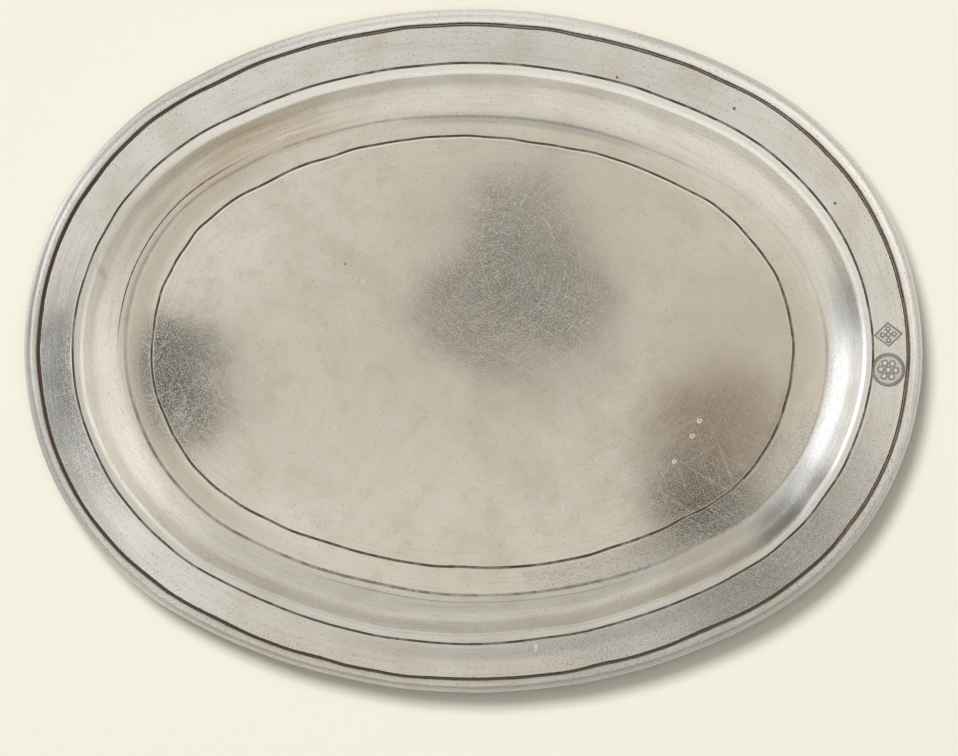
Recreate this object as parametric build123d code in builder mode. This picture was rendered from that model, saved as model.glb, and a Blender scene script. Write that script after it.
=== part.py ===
"""Oval pewter serving tray: a sunk dish, a reeded moulding round its edge and the solder that joins them.

Millimetres, +Z up, +X along the tray. The origin is the middle of the base, on the surface it stands on.
Every ring of the tray is parallel to its outline, a four-arc oval, so one cross-section revolved about the
four arc centres makes each ring. An inset is a distance inward from that outline.
"""

from build123d import *

import os
from math import asin, atan2, cos, degrees, radians, sin, tan

# Outline, over the moulding
LENGTH = 264.0
WIDTH = 201.0
END_RADIUS = 89.5

# Dish: insets, slopes in degrees from level, and bend radii of the upper surface
SHEET = 2.0
DISH_EDGE = 1.6
SHOULDER = 17.6
COVE_TOE = 28.3
FLOOR_MIDDLE = 42.0
RIM_LINE_HEIGHT = 11.7
RIM_SLOPE = 2.5
STRIP_SLOPE = 13.0
WALL_SLOPE = 53.0
TOE_SLOPE = 18.0
SHOULDER_RADIUS = 2.4
BREAK_RADIUS = 3.0

# Engraved lines: inset of the middle, width at the surface and depth
RIM_LINE = 15.1
FLOOR_LINE = 36.8
LINE_WIDTH = 0.65
LINE_DEPTH = 0.35

# Moulding: a flattened bead and a smaller reed over a lip that wraps the edge of the dish
BEAD_RADIUS = 1.2
BEAD_RISE = 0.75
BEAD_INSET = 2.75
BEAD_LIFT = 0.15
REED_RADIUS = 0.85
REED_LIFT = 0.1
LIP_DROP = 1.2
LIP_CHAMFER = 0.45

# Groove beside the moulding, and the solder under the rim
SEAM_WIDTH = 0.9
SEAM_DEPTH = 0.55
SOLDER_LEG = 1.1

# Two struck marks on the +X end of the rim, in generic patterns
STRIKE_DEPTH = 0.25
STRIKE_INSET = 9.85
ROUND_MARK_Y = -5.0
ROUND_MARK_RADIUS = 4.9
BORDER_WIDTH = 0.35
PETALS = 6
PETAL_RADIUS = 0.85
PETAL_REACH = 2.2
DIAMOND_MARK_Y = 5.4
DIAMOND_MARK_LENGTH = 8.0
DIAMOND_MARK_WIDTH = 6.8
DOT_RADIUS = 0.55
DOT_SPACING = 1.7

# Outline arcs: end arcs are centred on the X axis, side arcs on the Y axis
end_centre = LENGTH / 2 - END_RADIUS
side_radius = (end_centre**2 + (WIDTH / 2) ** 2 - END_RADIUS**2) / (WIDTH - 2 * END_RADIUS)
side_centre = side_radius - WIDTH / 2
end_half_sweep = degrees(atan2(side_centre, end_centre))
side_half_sweep = 90 - end_half_sweep

# Centre, radius, middle direction and half of the swept angle
ARCS = [
    ((end_centre, 0), END_RADIUS, 0, end_half_sweep),
    ((0, -side_centre), side_radius, 90, side_half_sweep),
    ((-end_centre, 0), END_RADIUS, 180, end_half_sweep),
    ((0, side_centre), side_radius, 270, side_half_sweep),
]

# The strip between the rim line and the shoulder leans inward, then the wall drops to the cove
shoulder_height = RIM_LINE_HEIGHT - (SHOULDER - RIM_LINE) * tan(radians(STRIP_SLOPE))
moulding_width = BEAD_INSET + BEAD_RADIUS

# The cove turns from the wall's slope to the toe's slope, where it meets the floor in a shallow crease
cove_run = sin(radians(WALL_SLOPE)) - sin(radians(TOE_SLOPE))
cove_rise = cos(radians(TOE_SLOPE)) - cos(radians(WALL_SLOPE))
wall_drop = (COVE_TOE - SHOULDER) * tan(radians(WALL_SLOPE)) - (shoulder_height - SHEET)
cove_radius = wall_drop / (cove_run * tan(radians(WALL_SLOPE)) - cove_rise)
wall_foot = COVE_TOE - cove_radius * cove_run
wall_foot_height = SHEET + cove_radius * cove_rise


def rim_height(inset):
    """Height of the rim's upper surface."""
    return RIM_LINE_HEIGHT + (RIM_LINE - inset) * tan(radians(RIM_SLOPE))


def under_rim(inset):
    """Height of the rim's underside, the sheet's thickness below."""
    return rim_height(inset) - SHEET / cos(radians(RIM_SLOPE))


lip_height = under_rim(DISH_EDGE) - LIP_DROP


def revolve_ring(draw_section):
    """Revolves the section drawn on an upright plane, x out and y up, along each of the outline's arcs."""
    for centre, radius, middle, half_sweep in ARCS:
        start = radians(middle - half_sweep)
        upright = Plane(
            origin=(*centre, 0),
            x_dir=(cos(start), sin(start), 0),
            z_dir=(sin(start), -cos(start), 0),
        )
        section = draw_section(upright, radius)
        revolve(section, axis=Axis((*centre, 0), (0, 0, 1)), revolution_arc=2 * half_sweep)


def draw_dish(upright, radius):
    """Sheet of even thickness from the floor to the rim's edge, with the seam and two lines cut in it."""
    with BuildSketch(upright) as section:
        with BuildLine():
            Line((radius - FLOOR_MIDDLE, SHEET), (radius - COVE_TOE, SHEET))
            RadiusArc((radius - COVE_TOE, SHEET), (radius - wall_foot, wall_foot_height), cove_radius)
            FilletPolyline(
                (radius - wall_foot, wall_foot_height),
                (radius - SHOULDER, shoulder_height),
                (radius - RIM_LINE, RIM_LINE_HEIGHT),
                (radius, rim_height(0)),
                radius=[SHOULDER_RADIUS, BREAK_RADIUS],
            )
            offset(amount=SHEET, side=Side.RIGHT)
        make_face()
        with Locations((radius - DISH_EDGE, rim_height(0))):
            Rectangle(2 * SHEET, 4 * SHEET, align=(Align.MIN, Align.CENTER), mode=Mode.SUBTRACT)
        with Locations((radius - moulding_width, rim_height(moulding_width))):
            Rectangle(SEAM_WIDTH, 2 * SEAM_DEPTH, align=(Align.MAX, Align.CENTER), mode=Mode.SUBTRACT)
        for inset, height in ((RIM_LINE, RIM_LINE_HEIGHT), (FLOOR_LINE, SHEET)):
            with BuildLine():
                Polyline(
                    (radius - inset - LINE_WIDTH, height + LINE_DEPTH),
                    (radius - inset, height - LINE_DEPTH),
                    (radius - inset + LINE_WIDTH, height + LINE_DEPTH),
                    close=True,
                )
            make_face(mode=Mode.SUBTRACT)
    return section.sketch


def draw_moulding(upright, radius):
    """Bead and reed, cut off level with the rim, over a body whose lip wraps the dish's edge."""
    bead_middle = rim_height(BEAD_INSET) + BEAD_LIFT
    reed_middle = rim_height(REED_RADIUS) + REED_LIFT
    with BuildSketch(upright) as section:
        with Locations((radius - BEAD_INSET, bead_middle)):
            Ellipse(BEAD_RADIUS, BEAD_RISE)
        with Locations((radius - REED_RADIUS, reed_middle)):
            Circle(REED_RADIUS)
        with BuildLine():
            Polyline(
                (radius - moulding_width, rim_height(moulding_width)),
                (radius, rim_height(0)),
                (radius, lip_height),
                (radius - moulding_width, lip_height),
                close=True,
            )
        make_face(mode=Mode.SUBTRACT)
        with BuildLine():
            Polyline(
                (radius - moulding_width, rim_height(moulding_width)),
                (radius - moulding_width, bead_middle),
                (radius - REED_RADIUS, bead_middle),
                (radius, reed_middle),
                (radius, lip_height + LIP_CHAMFER),
                (radius - LIP_CHAMFER, lip_height),
                (radius - DISH_EDGE, lip_height),
                (radius - DISH_EDGE, rim_height(DISH_EDGE)),
                close=True,
            )
        make_face()
    return section.sketch


def draw_solder(upright, radius):
    """Hollow fillet in the corner between the lip and the dish's underside."""
    inner = DISH_EDGE + SOLDER_LEG
    corner = (radius - DISH_EDGE, under_rim(DISH_EDGE))
    toe = (radius - inner, under_rim(inner))
    foot = (radius - DISH_EDGE, under_rim(DISH_EDGE) - SOLDER_LEG)
    with BuildSketch(upright) as section:
        with BuildLine():
            Line(toe, corner)
            Line(corner, foot)
            RadiusArc(foot, toe, -SOLDER_LEG)
        make_face()
    return section.sketch


def strike_plane(y):
    """Plane lying on the rim at the +X end, x pointing outward, at a distance y along it."""
    reach = END_RADIUS - STRIKE_INSET
    bearing = asin(y / reach)
    outward = Vector(cos(bearing), sin(bearing), tan(radians(RIM_SLOPE)))
    along = Vector(-sin(bearing), cos(bearing), 0)
    return Plane(
        origin=(end_centre + reach * cos(bearing), y, rim_height(STRIKE_INSET)),
        x_dir=outward,
        z_dir=outward.cross(along),
    )


with BuildPart() as dish:
    revolve_ring(draw_dish)

    # Flat middle of the floor, bounded by arcs parallel to the outline
    with BuildSketch():
        with BuildLine():
            for centre, radius, middle, half_sweep in ARCS:
                CenterArc(centre, radius - FLOOR_MIDDLE, middle - half_sweep, 2 * half_sweep)
        make_face()
    extrude(amount=SHEET)

    # Round mark: a ring, then a sunk field with a flower standing in it
    with BuildSketch(strike_plane(ROUND_MARK_Y)):
        Circle(ROUND_MARK_RADIUS)
        Circle(ROUND_MARK_RADIUS - BORDER_WIDTH, mode=Mode.SUBTRACT)
        Circle(ROUND_MARK_RADIUS - 2 * BORDER_WIDTH)
        Circle(PETAL_RADIUS, mode=Mode.SUBTRACT)
        with PolarLocations(PETAL_REACH, PETALS):
            Circle(PETAL_RADIUS, mode=Mode.SUBTRACT)
    extrude(amount=STRIKE_DEPTH, both=True, mode=Mode.SUBTRACT)

    # Diamond mark: a sunk field with five dots standing in it
    with BuildSketch(strike_plane(DIAMOND_MARK_Y)):
        with BuildLine():
            Polyline(
                (DIAMOND_MARK_LENGTH / 2, 0),
                (0, DIAMOND_MARK_WIDTH / 2),
                (-DIAMOND_MARK_LENGTH / 2, 0),
                (0, -DIAMOND_MARK_WIDTH / 2),
                close=True,
            )
        make_face()
        Circle(DOT_RADIUS, mode=Mode.SUBTRACT)
        with PolarLocations(DOT_SPACING, 4):
            Circle(DOT_RADIUS, mode=Mode.SUBTRACT)
    extrude(amount=STRIKE_DEPTH, both=True, mode=Mode.SUBTRACT)
dish.part.label = "dish"

with BuildPart() as edge_moulding:
    revolve_ring(draw_moulding)
edge_moulding.part.label = "edge_moulding"

with BuildPart() as solder_fillet:
    revolve_ring(draw_solder)
solder_fillet.part.label = "solder_fillet"

os.makedirs("parts", exist_ok=True)
for piece in (dish, edge_moulding, solder_fillet):
    export_step(piece.part, f"parts/{piece.part.label}.step")
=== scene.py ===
"""Oval pewter tray: the dish, its reeded moulding and the solder under the rim, seen from straight above.

Shapes are worked out in millimetres and become metres when a mesh is made. The tray's outline is a four-arc
oval and every ring is parallel to it, so a place on the tray is given by its inset, the distance inward from
the outline, and its bearing, the direction of the outline's normal there.
"""

from math import asin, atan2, cos, hypot, pi, radians, sin, tan

import bmesh
import bpy
import numpy as np
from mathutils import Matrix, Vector


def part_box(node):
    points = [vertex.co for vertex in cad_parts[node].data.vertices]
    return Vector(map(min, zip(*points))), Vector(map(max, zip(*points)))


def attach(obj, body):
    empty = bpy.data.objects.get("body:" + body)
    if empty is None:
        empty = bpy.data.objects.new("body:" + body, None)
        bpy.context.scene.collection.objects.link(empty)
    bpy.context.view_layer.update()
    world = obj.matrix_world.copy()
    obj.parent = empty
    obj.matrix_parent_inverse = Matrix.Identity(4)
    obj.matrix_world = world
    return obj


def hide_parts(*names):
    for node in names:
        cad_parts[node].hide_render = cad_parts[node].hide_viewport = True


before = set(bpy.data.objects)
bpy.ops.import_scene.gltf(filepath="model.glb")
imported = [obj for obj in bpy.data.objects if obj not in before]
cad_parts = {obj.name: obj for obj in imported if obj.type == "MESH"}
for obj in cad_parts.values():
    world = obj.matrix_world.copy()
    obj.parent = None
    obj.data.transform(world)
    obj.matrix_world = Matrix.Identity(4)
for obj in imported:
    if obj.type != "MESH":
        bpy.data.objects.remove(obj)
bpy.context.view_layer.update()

MM = 0.001

# Plan of the tray, from the CAD model's box
HALF_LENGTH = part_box("edge_moulding")[1].x / MM
HALF_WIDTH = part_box("edge_moulding")[1].y / MM
END_RADIUS = 89.5
END_CENTRE = HALF_LENGTH - END_RADIUS
SIDE_RADIUS = (END_CENTRE**2 + HALF_WIDTH**2 - END_RADIUS**2) / (2 * (HALF_WIDTH - END_RADIUS))
SIDE_CENTRE = SIDE_RADIUS - HALF_WIDTH
JOINT = atan2(SIDE_CENTRE, END_CENTRE)
GIRTH = 4 * END_RADIUS * JOINT + 4 * SIDE_RADIUS * (pi / 2 - JOINT)

# Cross-section of the dish, as in the CAD model: insets, heights and slopes. The cove meets the floor in a
# shallow crease.
SHEET = 2.0
DISH_EDGE = 1.6
RIM_LINE = 15.1
SHOULDER = 17.6
COVE_TOE = 28.3
FLOOR_LINE = 36.8
FLOOR_MIDDLE = 46.0
RIM_LINE_HEIGHT = 11.7
RIM_SLOPE = radians(2.5)
STRIP_SLOPE = radians(13.0)
WALL_SLOPE = radians(53.0)
TOE_SLOPE = radians(18.0)
SHOULDER_RADIUS = 2.4
SHOULDER_HEIGHT = RIM_LINE_HEIGHT - (SHOULDER - RIM_LINE) * tan(STRIP_SLOPE)
COVE_RUN = sin(WALL_SLOPE) - sin(TOE_SLOPE)  # of a cove of radius 1
COVE_RISE = cos(TOE_SLOPE) - cos(WALL_SLOPE)
COVE_RADIUS = ((COVE_TOE - SHOULDER) * tan(WALL_SLOPE) - (SHOULDER_HEIGHT - SHEET)) / (
    COVE_RUN * tan(WALL_SLOPE) - COVE_RISE
)

# Engraved lines: inset, width, depth and height of the burr beside them
GROOVES = (
    (RIM_LINE, 0.66, 0.34, 0.02),
    (FLOOR_LINE, 0.74, 0.34, 0.004),
)

# Cross-section of the moulding and the solder
BEAD_INSET = 2.75
BEAD_RADIUS = 1.2
BEAD_RISE = 0.75
BEAD_LIFT = 0.15
REED_RADIUS = 0.85
REED_LIFT = 0.1
MOULDING_WIDTH = BEAD_INSET + BEAD_RADIUS
SEAM_WIDTH = 0.9
SEAM_DEPTH = 0.55
LIP_DROP = 1.2
LIP_ROUNDING = 0.4
SOLDER_LEG = 1.1

RIM_SAG = 0.3  # worn rim, below the CAD model's, which leaves room for its unevenness
COLUMNS = 560  # mesh columns round the oval
UNDERSIDE = 200.0  # added to the inset attribute where a surface looks down, so that no line shows there


def rim_height(inset):
    return RIM_LINE_HEIGHT + (RIM_LINE - inset) * tan(RIM_SLOPE)


def under_rim(inset):
    return rim_height(inset) - SHEET / cos(RIM_SLOPE)


# -------------------------------- rings of points round the oval


def wander(seed, way_round, slowest=3, fastest=36, falloff=0.7):
    """Unevenness of handwork along a ring, with mean 0 and standard deviation 1, that closes on itself."""
    draw = np.random.default_rng(seed)
    total = np.zeros_like(way_round)
    for waves in range(slowest, fastest + 1):
        total += draw.normal() / waves**falloff * np.sin(2 * pi * (waves * way_round + draw.random()))
    return total / total.std()


def waviness(seed, x, y, wavelength, count=12):
    """Unevenness of a surface, of standard deviation about 1: waves of one length in many directions."""
    draw = np.random.default_rng(seed)
    total = np.zeros_like(x)
    for _ in range(count):
        way = draw.random() * 2 * pi
        pitch = 2 * pi / (wavelength * (0.7 + 0.6 * draw.random()))
        total += np.sin(pitch * (x * cos(way) + y * sin(way)) + draw.random() * 2 * pi)
    return total / (count / 2) ** 0.5


class Oval:
    """Stations round the outline, evenly spaced along each arc, and the hand's wander at each of them."""

    def __init__(self, count):
        arcs = (
            ((END_CENTRE, 0), END_RADIUS, 0, JOINT),
            ((0, -SIDE_CENTRE), SIDE_RADIUS, pi / 2, pi / 2 - JOINT),
            ((-END_CENTRE, 0), END_RADIUS, pi, JOINT),
            ((0, SIDE_CENTRE), SIDE_RADIUS, 3 * pi / 2, pi / 2 - JOINT),
        )
        step = 2 * np.arange(count // 4) / (count // 4) - 1
        self.centre_x = np.repeat([arc[0][0] for arc in arcs], count // 4)
        self.centre_y = np.repeat([arc[0][1] for arc in arcs], count // 4)
        self.radius = np.repeat([arc[1] for arc in arcs], count // 4)
        self.bearing = np.concatenate([middle + half * step for _, _, middle, half in arcs])
        self.way_round = np.arange(count) / count
        way = self.way_round
        turn = self.bearing

        # Slow drifts inward by the direction of the outline, with the hand's wander on top
        off_middle = 0.3 * (np.cos(turn) + np.sin(turn))
        outline = 0.10 * np.abs(wander(1, way, 2, 14))
        seam = 0.15 * np.cos(turn) + 0.3 * np.sin(turn) - 0.14 * np.cos(4 * turn) - 0.1
        rounder = 0.33 * np.sin(turn) - 0.40 * np.cos(2 * turn) - 0.38 * np.cos(4 * turn)
        rounder -= 0.6 * np.exp((np.cos(turn - 1.08) - 1) / 0.03)
        askew = 0.15 + 0.3 * np.sin(2 * turn) + 0.3 * np.cos(2 * turn)
        rim_line = off_middle + rounder + 0.20 * wander(3, way, 3, 50, 1.0)
        toe = 0.65 + 0.9 * (np.sin(turn) - np.cos(turn)) + 0.65 * (np.sin(2 * turn) - np.cos(2 * turn))
        self.shifts = (
            (0.0, outline),
            (BEAD_INSET, outline + 0.6 * seam + 0.05 * wander(2, way, 3, 80, 0.5)),
            (MOULDING_WIDTH + SEAM_WIDTH / 2, outline + seam + 0.16 * wander(5, way, 3, 50, 0.9)),
            (RIM_LINE, rim_line),
            (SHOULDER, rim_line + 0.10 * wander(7, way, 2, 12)),
            (COVE_TOE, off_middle + toe + 0.25 * wander(9, way, 2, 20, 1.0)),
            (FLOOR_LINE, off_middle + askew + 0.22 * wander(11, way, 3, 50, 1.0)),
            (FLOOR_MIDDLE, np.zeros(count)),
        )

    def shift(self, inset):
        """How far inward the hand has strayed at each station."""
        insets = [known for known, _ in self.shifts]
        after = min(max(np.searchsorted(insets, inset), 1), len(insets) - 1)
        share = min(max((inset - insets[after - 1]) / (insets[after] - insets[after - 1]), 0), 1)
        return (1 - share) * self.shifts[after - 1][1] + share * self.shifts[after][1]

    def places(self, inset, scale=1.0):
        reach = self.radius - inset - self.shift(inset)
        x = scale * (self.centre_x + reach * np.cos(self.bearing))
        y = scale * (self.centre_y + reach * np.sin(self.bearing))
        return x, y


class Rings:
    """Rings of points, joined in the order they are added, with the material's attributes for each point."""

    def __init__(self, oval):
        self.oval = oval
        self.rings = []
        self.points = []
        self.insets = []
        self.turned = []

    def add(self, x, y, z, label, every=1):
        """label is the inset that the material sees. every thins the ring's points."""
        count = len(x[::every])
        first = sum(len(ring) for ring in self.points)
        turn = 2 * pi * self.oval.way_round[::every] if count > 1 else np.zeros(1)
        across = np.full(count, float(label))
        self.rings.append(list(range(first, first + count)))
        self.points.append(np.stack([x[::every], y[::every], (z + np.zeros_like(x))[::every]], axis=1))
        self.insets.append(across)
        self.turned.append(
            np.stack([across, GIRTH / 2 / pi * np.cos(turn), GIRTH / 2 / pi * np.sin(turn)], axis=1)
        )

    def faces(self, closed=False):
        made = []
        following = self.rings[1:] + self.rings[:1] if closed else self.rings[1:]
        for inner, outer in zip(self.rings, following):
            steps = min(len(inner), len(outer))
            if steps == 1:
                rim = max(inner, outer, key=len)
                spokes = zip(rim, rim[1:] + rim[:1])
                if len(inner) == 1:
                    made += [(inner[0], a, b) for a, b in spokes]
                else:
                    made += [(b, a, outer[0]) for a, b in spokes]
                continue
            run_in, run_out = len(inner) // steps, len(outer) // steps
            for i in range(steps):
                near = [inner[(i * run_in + k) % len(inner)] for k in range(run_in + 1)]
                far = [outer[(i * run_out + k) % len(outer)] for k in range(run_out + 1)]
                made.append((near[0], *far, *reversed(near[1:])))
        return made

    def mesh(self, name, closed=False):
        """The mesh in metres, smooth shaded, with attributes inset and turned in millimetres."""
        made = bpy.data.meshes.new(name)
        made.from_pydata(np.concatenate(self.points) * MM, [], self.faces(closed))
        made.attributes.new("inset", "FLOAT", "POINT").data.foreach_set("value", np.concatenate(self.insets))
        made.attributes.new("turned", "FLOAT_VECTOR", "POINT").data.foreach_set(
            "vector", np.concatenate(self.turned).ravel()
        )
        made.shade_smooth()
        return made


# -------------------------------- the dish

# Struck marks: place along the rim's end, and size
STRIKE_DEPTH = 0.25
STRIKE_INSET = 9.85
STRIKE_EDGE = 0.26  # width of a struck edge
STRIKE_TRACE = 0.42  # half width of the dirt along it
STRIKE_CUTS = 7
STRIKE_MARGIN = 2.0  # refined mesh beyond the marks
ROUND_MARK_Y = -5.0
ROUND_MARK_RADIUS = 4.9
BORDER_WIDTH = 0.35
PETALS = 6
PETAL_RADIUS = 0.85
PETAL_REACH = 2.2
DIAMOND_MARK_Y = 5.4
DIAMOND_MARK_LENGTH = 8.0
DIAMOND_MARK_WIDTH = 6.8
DOT_RADIUS = 0.6
DOT_SPACING = 1.7


def smooth(x):
    x = np.clip(x, 0, 1)
    return x * x * (3 - 2 * x)


def plain_height(inset):
    """Height of the dish's upper surface without its grooves."""
    if inset >= COVE_TOE:
        return SHEET
    if inset >= COVE_TOE - COVE_RADIUS * COVE_RUN:
        middle = COVE_TOE + COVE_RADIUS * sin(TOE_SLOPE)
        return SHEET + COVE_RADIUS * cos(TOE_SLOPE) - (COVE_RADIUS**2 - (middle - inset) ** 2) ** 0.5
    bend = SHOULDER_RADIUS * tan((WALL_SLOPE - STRIP_SLOPE) / 2)
    wall_end = SHOULDER + bend * cos(WALL_SLOPE)
    if inset >= wall_end:
        return SHOULDER_HEIGHT - (inset - SHOULDER) * tan(WALL_SLOPE)
    if inset > SHOULDER - bend * cos(STRIP_SLOPE):
        middle = wall_end - SHOULDER_RADIUS * sin(WALL_SLOPE)
        middle_height = SHOULDER_HEIGHT - bend * sin(WALL_SLOPE) - SHOULDER_RADIUS * cos(WALL_SLOPE)
        return middle_height + (SHOULDER_RADIUS**2 - (inset - middle) ** 2) ** 0.5
    if inset >= RIM_LINE:
        return RIM_LINE_HEIGHT - (inset - RIM_LINE) * tan(STRIP_SLOPE)
    return rim_height(inset)


def groove_depth(inset):
    """Depth of whichever groove passes here: a V for a cut line, with a burr on each side."""
    depth = 0.0
    for middle, width, deepest, burr in GROOVES:
        away = abs(inset - middle) / (width / 2)
        depth += deepest * max(0.0, 1 - away)
        depth -= burr * float(smooth(1 - abs(away - 1.35) / 0.5))
    return depth


def seam_depth(inset):
    """Depth of the seam beside the moulding: two cuts with a low ridge of solder between them."""
    across = (inset - MOULDING_WIDTH) / SEAM_WIDTH
    if not 0 <= across <= 1:
        return 0.0
    ridge = 0.45 * float(smooth(1 - abs(across - 0.5) / 0.3))
    walls = float(smooth(min(across, 1 - across) / 0.16))
    return SEAM_DEPTH * walls * (1 - ridge)


def spread(first, last, pitch):
    """Insets from first to last, evenly spaced by about pitch, without the last."""
    return list(np.linspace(first, last, max(1, round(abs(last - first) / pitch)) + 1))[:-1]


def dish_insets():
    """Insets of the upper rings from the plain floor outward, close together where the section bends."""
    line = 0.66  # half width of the close rings at an engraved line
    seam = MOULDING_WIDTH + SEAM_WIDTH
    return [
        *spread(FLOOR_MIDDLE, FLOOR_LINE + line, 1.6),
        *spread(FLOOR_LINE + line, FLOOR_LINE - line, 0.11),
        *spread(FLOOR_LINE - line, COVE_TOE + 0.6, 1.0),
        *spread(COVE_TOE + 0.6, COVE_TOE - 0.6, 0.2),
        *spread(COVE_TOE - 0.6, SHOULDER + 0.6, 0.6),
        *spread(SHOULDER + 0.6, SHOULDER - 0.9, 0.15),
        *spread(SHOULDER - 0.9, RIM_LINE + line, 0.33),
        *spread(RIM_LINE + line, RIM_LINE - line, 0.11),
        *spread(RIM_LINE - line, seam + 0.4, 0.55),
        *spread(seam + 0.4, seam, 0.2),
        *spread(seam, MOULDING_WIDTH - 0.1, 0.09),
        *spread(MOULDING_WIDTH - 0.1, DISH_EDGE, 1.0),
        DISH_EDGE,
    ]


# Knocks in the floor: middle, radius and depth
KNOCKS = (
    (67.0, -20.3, 1.1, 0.07),
    (64.9, -24.8, 1.1, 0.06),
    (59.6, -32.4, 1.0, 0.07),
    (-33.0, 20.5, 1.4, 0.03),
)


def dish_lift(x, y, inset):
    """Slow unevenness of the plate, and shallow knocks in its floor."""
    lift = 0.07 * waviness(21, x, y, 95) + 0.012 * waviness(22, x, y, 26)
    lift -= RIM_SAG * float(smooth((FLOOR_LINE - inset) / (FLOOR_LINE - SHOULDER)))
    if inset > FLOOR_LINE:
        for knock_x, knock_y, knock_radius, depth in KNOCKS:
            lift -= depth * np.exp(-((x - knock_x) ** 2 + (y - knock_y) ** 2) / knock_radius**2)
    return lift


def dish_mesh():
    oval = Oval(COLUMNS)
    rings = Rings(oval)
    zero = np.zeros(1)
    steps = 24

    # Upper side: the middle of the floor as ever larger copies of its first ring, then parallel rings
    rings.add(zero, zero, SHEET + dish_lift(zero, zero, HALF_WIDTH), HALF_WIDTH)
    for step in range(1, steps):
        scale = step / steps
        x, y = oval.places(FLOOR_MIDDLE, scale)
        every = 4 if scale < 0.25 else 2
        label = FLOOR_MIDDLE + (1 - scale) * (HALF_WIDTH - FLOOR_MIDDLE)
        rings.add(x, y, SHEET + dish_lift(x, y, label), label, every)
    depth_share = 1 + 0.25 * wander(31, oval.way_round, 6, 60, 0.3)
    for inset in dish_insets():
        x, y = oval.places(inset)
        height = plain_height(inset) - groove_depth(inset) * depth_share - seam_depth(inset)
        rings.add(x, y, height + dish_lift(x, y, inset), inset)

    # Underside, inward from the rim's edge, the sheet's thickness below the upper side
    under = [(inset, under_rim(inset)) for inset in (DISH_EDGE, 4.0, 8.0, 12.0)]
    for inset in np.linspace(RIM_LINE, COVE_TOE, 22)[:-1]:
        lean = atan2(plain_height(inset) - plain_height(inset + 0.01), 0.01)
        under.append((inset - SHEET * sin(lean), plain_height(inset) - SHEET * cos(lean)))
    for lean in np.linspace(TOE_SLOPE, 0, 4):
        under.append((COVE_TOE - SHEET * sin(lean), SHEET - SHEET * cos(lean)))
    under += [(inset, 0.0) for inset in (30.0, 34.0, 38.0, 42.0, FLOOR_MIDDLE)]
    for inset, height in under:
        x, y = oval.places(inset)
        rings.add(x, y, height + (dish_lift(x, y, inset) if height > 0.3 else 0), UNDERSIDE + inset, 2)
    for step in range(9, 0, -1):
        x, y = oval.places(FLOOR_MIDDLE, step / 10)
        label = UNDERSIDE + FLOOR_MIDDLE + (1 - step / 10) * (HALF_WIDTH - FLOOR_MIDDLE)
        rings.add(x, y, 0.0, label, 2 if step > 3 else 4)
    rings.add(zero, zero, 0.0, UNDERSIDE + HALF_WIDTH)
    return rings.mesh("pewter_dish")


def strike_frame(y):
    """Middle of a struck mark, and the directions outward and along the rim there."""
    reach = END_RADIUS - STRIKE_INSET
    bearing = asin(y / reach)
    outward = np.array([cos(bearing), sin(bearing)])
    along = np.array([-sin(bearing), cos(bearing)])
    return np.array([END_CENTRE, 0]) + reach * outward, outward, along


def struck(points):
    """How far each point is struck down in the two marks, and how close it is to an edge, both 0 to 1."""
    middle, outward, along = strike_frame(ROUND_MARK_Y)
    u, v = (points - middle) @ outward, (points - middle) @ along
    out = np.hypot(u, v)
    border = np.abs(out - ROUND_MARK_RADIUS + BORDER_WIDTH / 2) - BORDER_WIDTH / 2
    turns = 2 * pi * np.arange(PETALS) / PETALS
    raised = [out - PETAL_RADIUS]
    raised += [np.hypot(u - PETAL_REACH * cos(t), v - PETAL_REACH * sin(t)) - PETAL_RADIUS for t in turns]
    field = np.maximum(out - ROUND_MARK_RADIUS + 2 * BORDER_WIDTH, -np.min(raised, axis=0))
    round_mark = np.minimum(border, field)

    middle, outward, along = strike_frame(DIAMOND_MARK_Y)
    u, v = (points - middle) @ outward, (points - middle) @ along
    half_length, half_width = DIAMOND_MARK_LENGTH / 2, DIAMOND_MARK_WIDTH / 2
    slant = half_length * half_width / hypot(half_length, half_width)
    edge = (np.abs(u) / half_length + np.abs(v) / half_width - 1) * slant
    spots = [(0, 0), (DOT_SPACING, 0), (-DOT_SPACING, 0), (0, DOT_SPACING), (0, -DOT_SPACING)]
    raised = [np.hypot(u - a, v - b) - DOT_RADIUS for a, b in spots]
    diamond_mark = np.maximum(edge, -np.min(raised, axis=0))
    to_edge = np.minimum(np.abs(field), np.abs(diamond_mark))
    to_edge = np.minimum(to_edge, np.abs(border + BORDER_WIDTH / 2))
    depth = smooth(0.5 - np.minimum(round_mark, diamond_mark) / STRIKE_EDGE)
    return depth, smooth(1 - to_edge / STRIKE_TRACE)


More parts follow.
